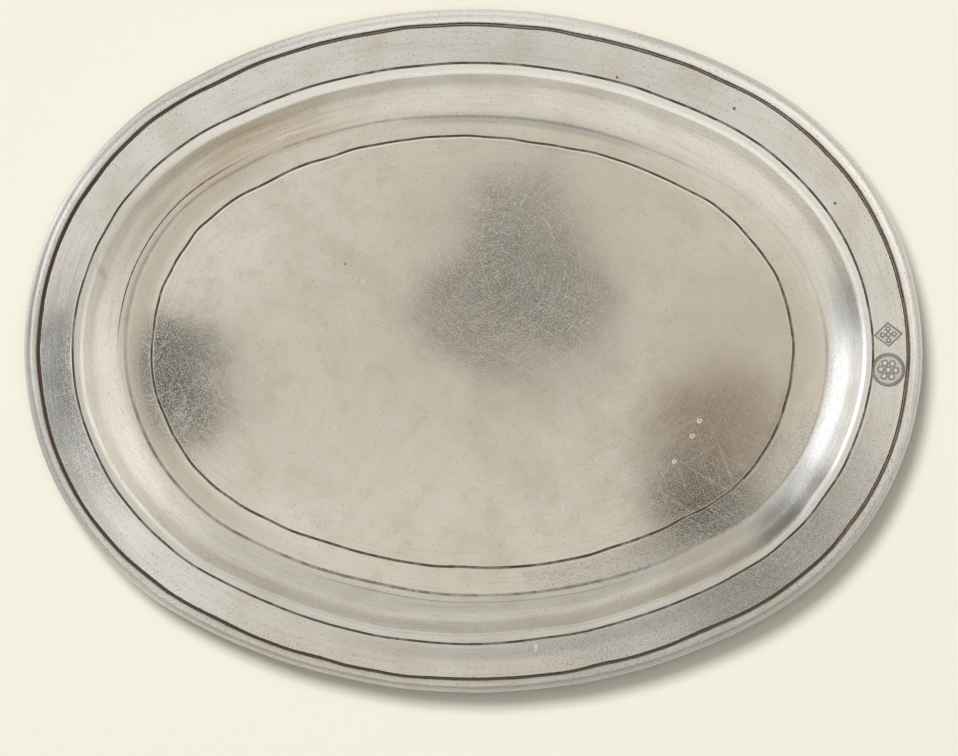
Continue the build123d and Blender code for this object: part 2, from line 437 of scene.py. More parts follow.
def strike(mesh):
    """Refines the mesh under the two marks and presses them in."""
    shape = bmesh.new()
    shape.from_mesh(mesh)
    inset = shape.verts.layers.float["inset"]
    sunk = shape.verts.layers.float.new("sunk")
    traced = shape.verts.layers.float.new("traced")
    near_x = strike_frame(0)[0][0] - STRIKE_INSET
    low_y = ROUND_MARK_Y - ROUND_MARK_RADIUS - STRIKE_MARGIN
    high_y = DIAMOND_MARK_Y + DIAMOND_MARK_WIDTH / 2 + STRIKE_MARGIN

    def under_a_mark(vert):
        x, y = vert.co.x / MM, vert.co.y / MM
        on_rim = MOULDING_WIDTH + SEAM_WIDTH + 0.02 < vert[inset] < RIM_LINE - 0.3
        return on_rim and x > near_x and low_y < y < high_y

    chosen = [face for face in shape.faces if all(under_a_mark(vert) for vert in face.verts)]
    edges = list({edge for face in chosen for edge in face.edges})
    bmesh.ops.subdivide_edges(shape, edges=edges, cuts=STRIKE_CUTS, use_grid_fill=True)
    verts = [vert for vert in shape.verts if under_a_mark(vert)]
    depths, traces = struck(np.array([(vert.co.x / MM, vert.co.y / MM) for vert in verts]))
    for vert, depth, trace in zip(verts, depths, traces):
        vert[sunk] = depth
        vert[traced] = trace
        vert.co.z -= STRIKE_DEPTH * MM * depth
    shape.to_mesh(mesh)
    shape.free()
    mesh.shade_smooth()


# -------------------------------- the moulding and its solder


def arc(middle_inset, middle_height, radius, rise, first, last, count):
    """Points of a round in a section, at angles in degrees from level outward."""
    turns = np.radians(np.linspace(first, last, count))
    return [(middle_inset - radius * cos(t), middle_height + rise * sin(t)) for t in turns]


def moulding_mesh():
    """Over the bead and the reed, down the outer side, under the lip and up its inner side."""
    oval = Oval(COLUMNS)
    rings = Rings(oval)
    bead_height = rim_height(BEAD_INSET) + BEAD_LIFT
    reed_height = rim_height(REED_RADIUS) + REED_LIFT
    lip_height = under_rim(DISH_EDGE) - LIP_DROP
    section = [(MOULDING_WIDTH, rim_height(MOULDING_WIDTH) - SEAM_DEPTH)]
    section += arc(BEAD_INSET, bead_height, BEAD_RADIUS, BEAD_RISE, 180, 28, 16)
    section += arc(REED_RADIUS, reed_height, REED_RADIUS, REED_RADIUS, 148, 0, 12)
    section += [(0.0, lip_height + 2.2), (0.0, lip_height + 1.3)]
    section += arc(LIP_ROUNDING, lip_height + LIP_ROUNDING, LIP_ROUNDING, LIP_ROUNDING, 0, -90, 5)
    section += [(DISH_EDGE, height) for height in (lip_height, under_rim(DISH_EDGE), rim_height(DISH_EDGE))]
    section += [(MOULDING_WIDTH - 0.1, rim_height(MOULDING_WIDTH) - SEAM_DEPTH)]
    crest = 0.05 * wander(41, oval.way_round, 4, 60, 0.4)
    for inset, height in section:
        x, y = oval.places(inset)
        proud = max(0.0, height - rim_height(inset)) / BEAD_RADIUS
        label = inset if height > rim_height(inset) - SEAM_DEPTH - 0.1 and inset > 0.1 else UNDERSIDE + inset
        rings.add(x, y, height + dish_lift(x, y, inset) + (crest - 0.06) * proud, label)
    return rings.mesh("reeded_moulding", closed=True)


def solder_mesh():
    """A lumpy fillet run along the corner between the lip and the dish's underside."""
    oval = Oval(COLUMNS // 2)
    rings = Rings(oval)
    size = SOLDER_LEG * (0.86 + 0.07 * wander(51, oval.way_round, 10, 80, 0.2))
    size = np.clip(size, 0.6, SOLDER_LEG)
    top = under_rim(DISH_EDGE)
    slope = tan(RIM_SLOPE)
    for turn in np.linspace(0, pi / 2, 8):
        inward = size * (1 - sin(turn) * 0.96)
        down = size * (1 - cos(turn) * 0.96)
        reach = oval.radius - DISH_EDGE - oval.shift(DISH_EDGE) - inward
        x = oval.centre_x + reach * np.cos(oval.bearing)
        y = oval.centre_y + reach * np.sin(oval.bearing)
        rings.add(x, y, top - slope * inward - down + dish_lift(x, y, 0), UNDERSIDE)
    x, y = oval.places(DISH_EDGE)
    rings.add(x, y, top + dish_lift(x, y, 0), UNDERSIDE)
    return rings.mesh("solder_run", closed=True)


# -------------------------------- materials


class Graph:
    """A material and short ways to add shader nodes to it. Sizes inside are in millimetres."""

    def __init__(self, name):
        self.material = bpy.data.materials.new(name)
        self.material.use_nodes = True
        self.tree = self.material.node_tree
        self.tree.nodes.clear()
        place = self.node("TexCoord").outputs["Object"]
        self.place = self.scaled(place, 1 / MM)
        self.inset = self.node("Attribute", attribute_name="inset").outputs["Fac"]
        self.turned = self.node("Attribute", attribute_name="turned").outputs["Vector"]
        self.sunk = self.node("Attribute", attribute_name="sunk").outputs["Fac"]
        self.traced = self.node("Attribute", attribute_name="traced").outputs["Fac"]

    def node(self, kind, inputs=None, **settings):
        made = self.tree.nodes.new("ShaderNode" + kind)
        for key, setting in settings.items():
            setattr(made, key, setting)
        for key, source in (inputs or {}).items():
            if isinstance(source, bpy.types.NodeSocket):
                self.tree.links.new(source, made.inputs[key])
            else:
                made.inputs[key].default_value = source
        return made

    def math(self, operation, a, b=0.0):
        return self.node("Math", {0: a, 1: b}, operation=operation).outputs[0]

    def vector(self, operation, a, b=(0, 0, 0)):
        return self.node("VectorMath", {0: a, 1: b}, operation=operation).outputs[0]

    def scaled(self, vector, scale):
        return self.node("VectorMath", {0: vector, "Scale": scale}, operation="SCALE").outputs[0]

    def without(self, share):
        """1 less that share."""
        return self.math("SUBTRACT", 1.0, share)

    def add(self, *terms):
        total = terms[0]
        for term in terms[1:]:
            total = self.math("ADD", total, term)
        return total

    def times(self, *terms):
        total = terms[0]
        for term in terms[1:]:
            total = self.math("MULTIPLY", total, term)
        return total

    def most(self, *terms):
        total = terms[0]
        for term in terms[1:]:
            total = self.math("MAXIMUM", total, term)
        return total

    def fade(self, source, low, high, to_low=0.0, to_high=1.0):
        """to_low up to low and to_high from high on, smoothly between them."""
        inputs = {"Value": source, "From Min": low, "From Max": high, "To Min": to_low, "To Max": to_high}
        return self.node("MapRange", inputs, interpolation_type="SMOOTHSTEP").outputs[0]

    def mix(self, share, a, b):
        made = self.node("Mix", data_type="RGBA")
        for socket, source in zip((made.inputs[0], made.inputs[6], made.inputs[7]), (share, a, b)):
            if isinstance(source, bpy.types.NodeSocket):
                self.tree.links.new(source, socket)
            else:
                socket.default_value = source
        return made.outputs[2]

    def tinted(self, colour, tint, *shares):
        """The colour mixed towards the tint by the product of the shares."""
        return self.mix(self.times(*shares), colour, tint)

    def noise(self, vector, scale, detail=2.0, roughness=0.5):
        inputs = {"Vector": vector, "Scale": scale, "Detail": detail, "Roughness": roughness}
        return self.node("TexNoise", inputs).outputs["Fac"]

    def stretched(self, vector, sizes, turn=0.0, middle=(0, 0, 0)):
        inputs = {"Vector": vector, "Location": middle, "Scale": sizes, "Rotation": (0, 0, turn)}
        return self.node("Mapping", inputs, vector_type="TEXTURE").outputs[0]

    def distance(self, x, y):
        """Distance from an upright line through that place."""
        flat = self.vector("MULTIPLY", self.place, (1, 1, 0))
        return self.node("VectorMath", {0: flat, 1: (x, y, 0)}, operation="DISTANCE").outputs["Value"]

    def oblong(self, vector, x, y, half_width, half_length, turn):
        """Distance from that place, where 1 is the edge of an oblong spot. turn is from the Y axis."""
        spot = self.stretched(vector, (half_width, half_length, 50), turn, (x, y, 0))
        return self.node("VectorMath", {0: spot}, operation="LENGTH").outputs["Value"]

    def specks(self, scale, size, share):
        """Round spots, at most one in each cell of a grid of that many per millimetre."""
        cell = self.node("TexVoronoi", {"Vector": self.place, "Scale": scale})
        lot = self.node("SeparateColor", {0: cell.outputs["Color"]}).outputs[0]
        chosen = self.math("LESS_THAN", lot, share)
        spot = self.fade(cell.outputs["Distance"], size * scale * 0.5, size * scale, 1, 0)
        return self.times(spot, chosen)

    def near(self, middle, half_width, softness, ragged=0.0):
        """1 on a ring at that inset, with a ragged edge."""
        away = self.math("ABSOLUTE", self.math("SUBTRACT", self.inset, middle))
        return self.fade(self.add(away, ragged), half_width - softness, half_width + softness, 1, 0)

    def finish(self, colour, metallic, roughness, height):
        """height is in millimetres."""
        bump = self.node("Bump", {"Height": height, "Distance": MM, "Strength": 1.0}).outputs[0]
        surface = self.node(
            "BsdfPrincipled",
            {"Base Color": colour, "Metallic": metallic, "Roughness": roughness, "Normal": bump},
        )
        output = self.node("OutputMaterial")
        self.tree.links.new(surface.outputs[0], output.inputs[0])
        return self.material


RIM_PEWTER = (0.762, 0.760, 0.728, 1)
FLOOR_PEWTER = (0.755, 0.712, 0.635, 1)
# Also the colour of painted highlights
POLISH_AND_HIGHLIGHT_PEWTER = (0.92, 0.91, 0.88, 1)
# Stains, and also the colour of painted dark reflections
STAIN_AND_REFLECTION_PEWTER = (0.55, 0.50, 0.42, 1)
# Casting skin, and also the colour of painted shade and painted dark reflections
SKIN_AND_SHADE_GREY = (0.41, 0.41, 0.395, 1)
TARNISH = (0.085, 0.072, 0.054, 1)
# The toe crease's line: tarnish and painted shade
TOE_TARNISH_AND_SHADE = (0.13, 0.12, 0.105, 1)
COVE_BROWN = (0.50, 0.40, 0.28, 1)
# The colour of a painted reflection
REFLECTED_BLUE_GREY = (0.36, 0.39, 0.42, 1)
DRY_BROWN = (0.34, 0.275, 0.20, 1)
DARK_BROWN = (0.11, 0.09, 0.065, 1)
RUST_BROWN = (0.38, 0.20, 0.10, 1)

DISH_ROUGHNESS = 0.12
MOULDING_ROUGHNESS = 0.28

# Patches where the casting's skin was left: middle, reach and strength
CAST_PATCHES = (
    (-116, -30, 16, 0.3),
    (98, -52, 40, 0.68),
    (57, -88, 56, 0.85),
    (58, 82, 24, 0.2),
    (2, 96, 30, 0.15),
)
# Painted reflection: blue-grey patches on the rim at the left: middle and reach
BLUE_REFLECTIONS = ((-122, 0, 15), (-119, -16, 16))
# Painted reflections: darker patches on the floor that deepen the tent's dark reflections: middle, reach and
# strength
FLOOR_DARK_REFLECTIONS = (
    (5, 22, 70, 0.42),
    (80, 2, 44, 0.65),
    (46, 38, 34, 0.3),
    (-48, -14, 46, 0.25),
    (10, -50, 60, 0.1),
)
# Open pits in the rim and one in the floor: middle and radius
OPEN_PITS = (
    (41.8, 80.6, 0.5),
    (76.3, 71.6, 0.55),
    (106.1, 43.9, 0.55),
    (51.0, 78.0, 0.3),
    (-38.0, 25.5, 0.4),
)
CLEAN_SPOT = (-108, -42)  # on the rim, with few stains
SWIRL = (5, 24, 46)  # middle and reach of the polishing swirl on the floor


class Pewter(Graph):
    """Hand-finished pewter: what the parts of its look share. casting is how strong its rough skin is."""

    def __init__(self, name, casting=1.0):
        super().__init__(name)
        axes = self.node("SeparateXYZ", {0: self.place}).outputs
        self.x, self.y = axes[0], axes[1]
        self.on_moulding = self.fade(self.inset, 3.8, 4.2, 1, 0)
        self.on_rim = self.fade(self.inset, RIM_LINE - 1, RIM_LINE + 1, 1, 0)
        self.on_floor = self.fade(self.inset, SHOULDER, FLOOR_LINE)
        strip_end = SHOULDER + 0.6
        self.strip = self.near((RIM_LINE + strip_end) / 2, (strip_end - RIM_LINE) / 2, 0.12)
        self.far_side = self.fade(self.add(self.y, self.times(0.5, self.x)), -40, 40)

        # Noises from broad to fine, and streaks that follow the oval, from turning and polishing
        self.cloud = self.noise(self.place, 0.018, 4, 0.6)
        self.mottle = self.noise(self.place, 0.06, 3, 0.5)
        self.blotches = self.noise(self.place, 0.16, 3, 0.6)
        self.skin = self.noise(self.place, 1.7, 3, 0.65)
        self.grain = self.noise(self.place, 3.0, 3, 0.7)
        self.streaks = self.noise(self.stretched(self.turned, (0.28, 11.0, 11.0)), 1.0, 3, 0.6)
        self.broad_streaks = self.noise(self.stretched(self.turned, (1.3, 38.0, 38.0)), 1.0, 3, 0.55)
        self.bent = self.vector("ADD", self.place, self.vector("MULTIPLY", (6, 6, 0), self.cloud))
        self.off_clean_spot = self.fade(self.distance(*CLEAN_SPOT), 12, 28, 0.1, 1)

        self.cast = self.casting_skin(casting)
        self.pits = self.open_pits()
        self.dents_and_glints = self.small_dents()
        self.scratches = self.fine_scratches()

    def centred(self, noise):
        return self.math("SUBTRACT", noise, 0.5)

    def patch(self, x, y, reach, solid, raggedness, strength=1.0):
        """A ragged patch: full strength up to that solid share of its reach, and nothing beyond it."""
        away = self.add(self.distance(x, y), self.times(reach * raggedness, self.centred(self.mottle)))
        return self.fade(away, reach * solid, reach, strength, 0)

    def casting_skin(self, casting):
        """Patches of rough skin on the rim and round the floor, but not on the strip, wall or floor."""
        cast = 0.0
        for x, y, reach, strength in CAST_PATCHES:
            cast = self.most(self.patch(x, y, reach, 0.45, 1.2, strength), cast)
        off_wall = self.most(self.on_rim, self.fade(self.inset, COVE_TOE - 1.5, COVE_TOE + 0.5))
        off_floor = self.fade(self.inset, FLOOR_LINE - 1.5, FLOOR_LINE - 0.5, 1, 0)
        return self.times(cast, self.without(self.strip), off_wall, off_floor, casting)

    def open_pits(self):
        """Pores, most of them beside the seam and in the casting skin, and a few deeper pits."""
        beside_seam = self.fade(self.inset, MOULDING_WIDTH, MOULDING_WIDTH + 7, 1, 0)
        beside_seam = self.times(beside_seam, self.fade(self.y, -20, 60, 1, 0.3))
        in_skin = self.fade(self.cast, 0.05, 0.4, 0, 0.8)
        porous = self.add(0.04, self.times(0.12, self.on_rim), self.times(0.24, beside_seam), in_skin)
        pits = self.times(0.9, self.specks(1.7, 0.18, porous))
        for x, y, size in OPEN_PITS:
            away = self.add(self.distance(x, y), self.times(0.4, self.grain))
            pits = self.most(pits, self.fade(away, size, size + 0.2, 1.25, 0))
        return pits

    def small_dents(self):
        """The sharp middles of the knocks in the floor, pressed in by the bump and lightened as a painted
        highlight.
        """
        dents_and_glints = 0.0
        deepest = max(depth for *_, depth in KNOCKS)
        for x, y, reach, depth in KNOCKS:
            dent = self.fade(self.distance(x, y), reach * 0.25, reach * 0.8, depth / deepest, 0)
            dents_and_glints = self.most(dent, dents_and_glints)
        return dents_and_glints

    def fine_scratches(self):
        """A round swirl on the floor, hairlines in a few directions and one short rub on the rim."""
        middle_x, middle_y, reach = SWIRL
        radius = self.distance(middle_x, middle_y)
        heading = self.vector("NORMALIZE", self.vector("SUBTRACT", self.place, (middle_x, middle_y, 0)))
        across = self.node("CombineXYZ", {2: self.times(radius, 2.2)}).outputs[0]
        swirl_place = self.vector("ADD", self.scaled(heading, 2.2), across)
        swirl = self.fade(self.noise(swirl_place, 1.0, 3, 0.7), 0.52, 0.78)
        scratches = self.times(0.7, swirl, self.fade(radius, reach * 0.4, reach, 1, 0), self.on_floor)
        for turn, limit in ((0.5, 0.70), (1.05, 0.72), (1.9, 0.71), (2.6, 0.70)):
            lines = self.noise(self.stretched(self.bent, (34.0, 0.09, 80.0), turn), 1.0, 1, 0.3)
            hairlines = self.times(0.5, self.fade(lines, limit, limit + 0.1), self.most(0.35, self.on_floor))
            scratches = self.most(scratches, hairlines)
        rub = self.oblong(self.place, 18.8, -87.1, 0.6, 1.7, -0.24)
        return self.most(scratches, self.fade(rub, 0.6, 1.0, 1, 0))

    def metal(self):
        """Bare metal with stains, broad and fine, and streaks, with a painted dim reflection on the rim's
        inner half and painted dark reflections on the floor.
        """
        colour = self.mix(self.on_floor, RIM_PEWTER, FLOOR_PEWTER)
        broad_stains = self.fade(self.cloud, 0.50, 0.66)
        colour = self.tinted(
            colour, STAIN_AND_REFLECTION_PEWTER, 0.42, self.off_clean_spot, self.fade(self.mottle, 0.42, 0.74)
        )
        colour = self.tinted(colour, STAIN_AND_REFLECTION_PEWTER, 0.35, self.off_clean_spot, broad_stains)
        dark_blotches = self.fade(self.blotches, 0.52, 0.66)
        light_blotches = self.fade(self.blotches, 0.34, 0.48, 1, 0)
        colour = self.tinted(colour, STAIN_AND_REFLECTION_PEWTER, 0.30, self.on_floor, dark_blotches)
        colour = self.tinted(colour, RIM_PEWTER, 0.35, self.on_floor, light_blotches)

        # Painted dim reflection: the inner half of the rim, greyer on the near side
        dim_reflection_half = self.fade(self.distance(20, -92), 30, 84, 0.8, 0)
        dim_reflection_half = self.times(dim_reflection_half, self.near(RIM_LINE - 3, 2.6, 1.4, self.blotches))
        colour = self.tinted(colour, SKIN_AND_SHADE_GREY, dim_reflection_half, self.fade(self.streaks, 0.3, 0.6, 1, 0.6))

        # Streaks, which fade towards the middle of the floor, and a fine grain all over
        off_middle = self.times(0.30, self.fade(self.inset, FLOOR_LINE + 2, FLOOR_LINE + 22, 1, 0.12))
        colour = self.tinted(colour, STAIN_AND_REFLECTION_PEWTER, off_middle, self.fade(self.broad_streaks, 0.50, 0.70))
        colour = self.tinted(colour, STAIN_AND_REFLECTION_PEWTER, off_middle, self.fade(self.streaks, 0.48, 0.72))
        colour = self.tinted(colour, STAIN_AND_REFLECTION_PEWTER, 0.55, self.fade(self.grain, 0.48, 0.68))
        # Painted reflections: darker patches on the floor
        for x, y, reach, strength in FLOOR_DARK_REFLECTIONS:
            stain = self.patch(x, y, reach, 0.3, 0.8, strength)
            colour = self.tinted(colour, STAIN_AND_REFLECTION_PEWTER, self.on_floor, stain)
        return colour

    def lit_shaded_and_worn(self, colour):
        """Painted highlights on the strip inside the rim line, the moulding's far side, the floor line's lip
        and the small dents; painted shade on stretches of the moulding; a painted blue reflection on the
        rim; and stains, casting skin and bright scratches.
        """
        # Painted highlights, over the strip's polish: the strip inside the rim line, most on the far side,
        # and the moulding on the far side
        polished_strip_highlight = self.times(self.strip, self.fade(self.far_side, 0, 1, 0.1, 0.7))
        far_moulding_highlight = self.times(self.fade(self.y, -30, 50), self.fade(self.x, -90, -20), self.on_moulding)
        colour = self.mix(self.most(polished_strip_highlight, far_moulding_highlight), colour, POLISH_AND_HIGHLIGHT_PEWTER)

        # Painted shade on stretches of the moulding: its outer reed at the right, its left end and its near
        # side
        shaded_right_reed = self.times(self.fade(self.x, 10, 60, 0.05, 0.6), self.fade(self.inset, 1.3, 1.8, 1, 0))
        shaded_left_end = self.times(self.fade(self.x, -115, -85, 0.7, 0), self.fade(self.y, 15, 50, 1, 0))
        shaded_side = self.most(shaded_left_end, self.fade(self.y, -90, -45, 0.75, 0))
        shaded_side = self.times(shaded_side, self.fade(self.inset, 1.3, 1.8, 1, 0.45), self.on_moulding)
        colour = self.mix(self.most(shaded_right_reed, shaded_side), colour, SKIN_AND_SHADE_GREY)

        # The rim: a stain on the near side, a clean spot, and at the left blue-grey patches that are a
        # painted reflection
        stain = self.times(self.on_rim, self.fade(self.distance(-42, -88), 14, 56, 0.45, 0))
        colour = self.tinted(colour, STAIN_AND_REFLECTION_PEWTER, stain, self.fade(self.streaks, 0.3, 0.6, 0.6, 1))
        clean_spot = self.times(0.9, self.without(self.off_clean_spot))
        colour = self.tinted(colour, POLISH_AND_HIGHLIGHT_PEWTER, clean_spot, self.near(11.0, 3.5, 1.5, self.mottle))
        for x, y, reach in BLUE_REFLECTIONS:
            blue_reflection = self.times(0.44, self.near(8.5, 4.2, 1.2, self.mottle), self.patch(x, y, reach, 0.7, 1.0))
            colour = self.tinted(colour, REFLECTED_BLUE_GREY, blue_reflection, self.fade(self.streaks, 0.3, 0.7, 1.0, 0.6))

        # The cove: brown at the upper left, and one drip at the left
        brown = self.times(
            self.near(COVE_TOE - 4, 5.5, 1.5),
            self.fade(self.distance(-66, 56), 12, 42, 0.6, 0),
            self.fade(self.broad_streaks, 0.3, 0.6),
        )
        drip = self.fade(self.oblong(self.bent, -106.2, 26.5, 1.1, 3.6, 0.43), 0.3, 1.2, 0.45, 0)
        colour = self.mix(self.most(brown, drip), colour, COVE_BROWN)

        # Casting skin is grey and scratches are bright; the lip of the floor line, most on the far side, and
        # the small dents get a painted highlight
        colour = self.tinted(colour, SKIN_AND_SHADE_GREY, self.cast, self.fade(self.skin, 0.35, 0.62, 0.22, 0.62))
        colour = self.tinted(colour, POLISH_AND_HIGHLIGHT_PEWTER, 0.50, self.scratches)
        burr = self.times(self.fade(self.y, 0, 60, 0.1, 0.9), self.near(FLOOR_LINE + 0.66, 0.15, 0.10))
        return self.mix(self.most(burr, self.times(0.5, self.dents_and_glints)), colour, POLISH_AND_HIGHLIGHT_PEWTER)

    def tarnished(self, colour):
        """The colour with tarnish in the cove's toe, seam, lines, marks and pits, a painted grey reflection
        along the far toe and painted shade in the toe's crease, and how dull that is.
        """
        ragged = self.times(0.38, self.centred(self.noise(self.place, 1.3, 3, 0.65)))
        patchy = self.noise(self.stretched(self.turned, (40.0, 6.0, 6.0)), 1.0, 4, 0.6)
        patchy = self.fade(patchy, 0.36, 0.60, 0.55, 1.0)

        # Along the toe of the cove: a broad grey band on the far side, a painted reflection, brown at the
        # left, and a dark line, partly tarnish and partly painted shade of the crease
        far_toe_reflection = self.near(COVE_TOE + 1.1, 1.7, 1.0, ragged)
        far_toe_reflection = self.times(0.75, self.fade(self.distance(14, 67), 20, 44, 1, 0), far_toe_reflection)
        colour = self.tinted(colour, SKIN_AND_SHADE_GREY, far_toe_reflection, self.fade(self.grain, 0.40, 0.60, 0.7, 1.0))
        left_toe = self.near(COVE_TOE + 3.2, 3.4, 1.8, self.mottle)
        left_toe = self.times(self.fade(self.x, -80, -40, 0.8, 0), left_toe)
        colour = self.mix(left_toe, colour, STAIN_AND_REFLECTION_PEWTER)
        below = self.fade(self.y, -25, 5, 1, 0)
        off_right = self.fade(self.x, 30, 80, 1, 0.1)
        # Painted shade with tarnish: the dark line in the toe's crease, stronger below
        toe = self.times(patchy, off_right, self.most(0.5, below), self.near(COVE_TOE, 0.44, 0.20, ragged))
        echoed = self.times(0.55, below, off_right, self.fade(self.x, -70, -30))
        echoed = self.most(echoed, self.fade(self.distance(-94, 34), 18, 42, 1.0, 0))
        toe_echo = self.times(echoed, self.near(COVE_TOE - 2.0, 0.16, 0.08, ragged))

        # The seam: rust beside it, most at the ends, brown fill, and dark cuts, which meet on the near side
        seam_middle = MOULDING_WIDTH + SEAM_WIDTH / 2
        rust = self.near(MOULDING_WIDTH - 0.12, 0.26, 0.16, ragged)
        at_ends = self.fade(self.math("ABSOLUTE", self.x), 70, 115)
        colour = self.tinted(colour, RUST_BROWN, 0.8, rust, self.most(at_ends, 0.25))
        seam_fill = self.times(0.8, self.near(seam_middle, SEAM_WIDTH / 2, 0.12, ragged))
        colour = self.mix(seam_fill, colour, self.mix(self.fade(self.x, -80, 0), DARK_BROWN, DRY_BROWN))
        outer_cut = self.near(MOULDING_WIDTH + 0.12, 0.20, 0.08, ragged)
        inner_cut = self.near(MOULDING_WIDTH + SEAM_WIDTH - 0.15, 0.22, 0.08, ragged)
        near_side = self.fade(self.far_side, 0.35, 0.75, 1, 0)
        whole_seam = self.times(near_side, self.near(seam_middle, 0.36, 0.10, ragged))

        # The two cut lines, and then everything that is dark, with the struck marks
        line_edge = self.times(0.5, ragged)
        lines = self.most(
            self.near(RIM_LINE, 0.36, 0.08, line_edge),
            self.near(FLOOR_LINE, 0.40, 0.08, line_edge),
        )
        dark = self.most(
            self.times(patchy, outer_cut),
            self.times(0.95, inner_cut),
            self.times(0.9, whole_seam),
            self.times(self.fade(patchy, 0.45, 1.0, 0.75, 1.0), lines),
            self.times(0.92, self.traced),
            self.times(0.22, self.sunk),
            toe_echo,
        )
        colour = self.tinted(colour, TOE_TARNISH_AND_SHADE, 0.9, toe)
        colour = self.tinted(colour, TARNISH, 0.75, self.pits)
        colour = self.mix(dark, colour, TARNISH)
        return colour, self.most(dark, self.pits, seam_fill, self.times(0.7, rust), self.times(0.6, toe))

    def finished(self, roughness):
        """The material. roughness is the plain metal's, before places, noises and flaws change it."""
        colour, dull = self.tarnished(self.lit_shaded_and_worn(self.metal()))
        on_wall = self.near((RIM_LINE + COVE_TOE) / 2, (COVE_TOE - RIM_LINE) / 2 - 0.6, 0.8)
        rough = self.add(
            roughness,
            self.times(0.14, self.on_moulding),
            self.times(0.02, self.on_rim),
            self.times(0.16, on_wall),
            self.times(-0.03, self.on_floor),
            self.times(0.06, self.centred(self.cloud)),
            self.times(0.10, self.centred(self.streaks)),
            self.times(0.04, self.cast),
            self.times(0.08, self.scratches),
            self.times(0.45, dull),
        )

        # Smoother metal under the two sharpest reflections
        calm = self.times(
            self.fade(self.distance(70, -30), 16, 40, 0.35, 1),
            self.fade(self.distance(-88, -6), 14, 30, 0.6, 1),
        )
        above_toe, below_toe = COVE_TOE - 1, COVE_TOE + 1
        height = self.add(
            self.times(self.fade(self.inset, above_toe, below_toe, 0.007, 0.0012), self.streaks),
            self.times(self.fade(self.inset, above_toe, below_toe, 0.010, 0.0025), self.broad_streaks),
            self.times(0.0055, self.grain),
            self.times(0.013, calm, self.fade(self.grain, 0.56, 0.68)),
            self.times(0.010, self.skin, self.cast),
            self.times(-0.006, self.scratches),
            self.times(-0.05, self.dents_and_glints),
            self.times(-0.08, self.pits),
        )
        return self.finish(colour, self.without(self.times(0.85, dull)), rough, height)


def solder():
    """Dull grey solder with a rippled surface."""
    g = Graph("solder")
    ripple = g.noise(g.place, 0.8, 3, 0.5)
    colour = g.mix(ripple, (0.30, 0.29, 0.27, 1), (0.50, 0.49, 0.46, 1))
    return g.finish(colour, 0.9, g.fade(ripple, 0.3, 0.7, 0.35, 0.6), g.times(0.06, ripple))


# -------------------------------- the studio

FLOOR_COLOUR = (0.905, 0.871, 0.753, 1)
FLOOR_REACH = 6.0
TENT_RADIUS = 0.55
TENT_HEIGHT = 0.34

# Light tent: the level of its sides all round, at angles in degrees from +X, and of its ceiling
SIDES = (
    (0, 1.12),
    (30, 1.15),
    (45, 1.28),
    (60, 0.84),
    (75, 0.60),
    (100, 0.60),
    (122, 0.64),
    (135, 0.80),
    (185, 1.0),
    (240, 1.02),
    (270, 0.94),
    (300, 0.78),
    (330, 0.80),
)
SIDE_TINT = (1.0, 0.965, 0.895)
CEILING = (0.845, 0.812, 0.755)

# Cards in the tent, all in degrees: angle from +X, zenith angle, half widths of both, softness, colour
CARDS = (
    (90, 78, 30, 14, 12, (0.88, 0.85, 0.78)),
    (64, 78, 14, 12, 12, (0.72, 0.69, 0.63)),
    (164, 70, 23, 40, 10, (1.74, 1.81, 1.95)),
    (195, 80, 7, 34, 7, (0.22, 0.235, 0.26)),
    (195, 38, 6, 5, 5, (0.24, 0.26, 0.28)),
    (133, 72, 9, 36, 7, (0.15, 0.16, 0.18)),
    (318, 56, 9, 12, 10, (0.50, 0.42, 0.33)),
)

# Light and dark shapes on its ceiling, in metres: middle, half widths, roundness, softness, colour
SHAPES = (
    (-0.074, -0.064, 0.036, 0.020, 2.5, 0.90, (0.93, 0.92, 0.88)),
    (-0.078, 0.050, 0.032, 0.022, 2.5, 0.90, (0.89, 0.875, 0.83)),
    (0.013, 0.053, 0.021, 0.018, 2.5, 0.40, (0.42, 0.42, 0.41)),
    (0.017, 0.036, 0.024, 0.016, 2.0, 0.30, (0.36, 0.365, 0.36)),
    (0.0145, 0.0160, 0.0345, 0.0185, 3.0, 0.10, (0.30, 0.305, 0.30)),
    (-0.110, -0.0105, 0.0205, 0.0200, 3.0, 0.12, (0.09, 0.10, 0.115)),
    (0.0850, -0.036, 0.019, 0.033, 3.0, 0.14, (0.34, 0.285, 0.235)),
    (0.0785, -0.047, 0.0090, 0.016, 3.0, 0.25, (0.13, 0.125, 0.105)),
    (0.0905, -0.0695, 0.0205, 0.0185, 2.0, 0.25, (0.04, 0.04, 0.037)),
)


def floor():
    """Plain pale floor under the tray."""
    g = Graph("pale_floor")
    grain = g.noise(g.place, 0.4, 2)
    corners = [(-FLOOR_REACH, -FLOOR_REACH, 0), (FLOOR_REACH, -FLOOR_REACH, 0)]
    corners += [(FLOOR_REACH, FLOOR_REACH, 0), (-FLOOR_REACH, FLOOR_REACH, 0)]
    made = bpy.data.meshes.new("studio_floor")
    made.from_pydata(corners, [], [(0, 1, 2, 3)])
    made.materials.append(g.finish(FLOOR_COLOUR, 0.0, 1.0, g.times(0.001, grain)))
    return made


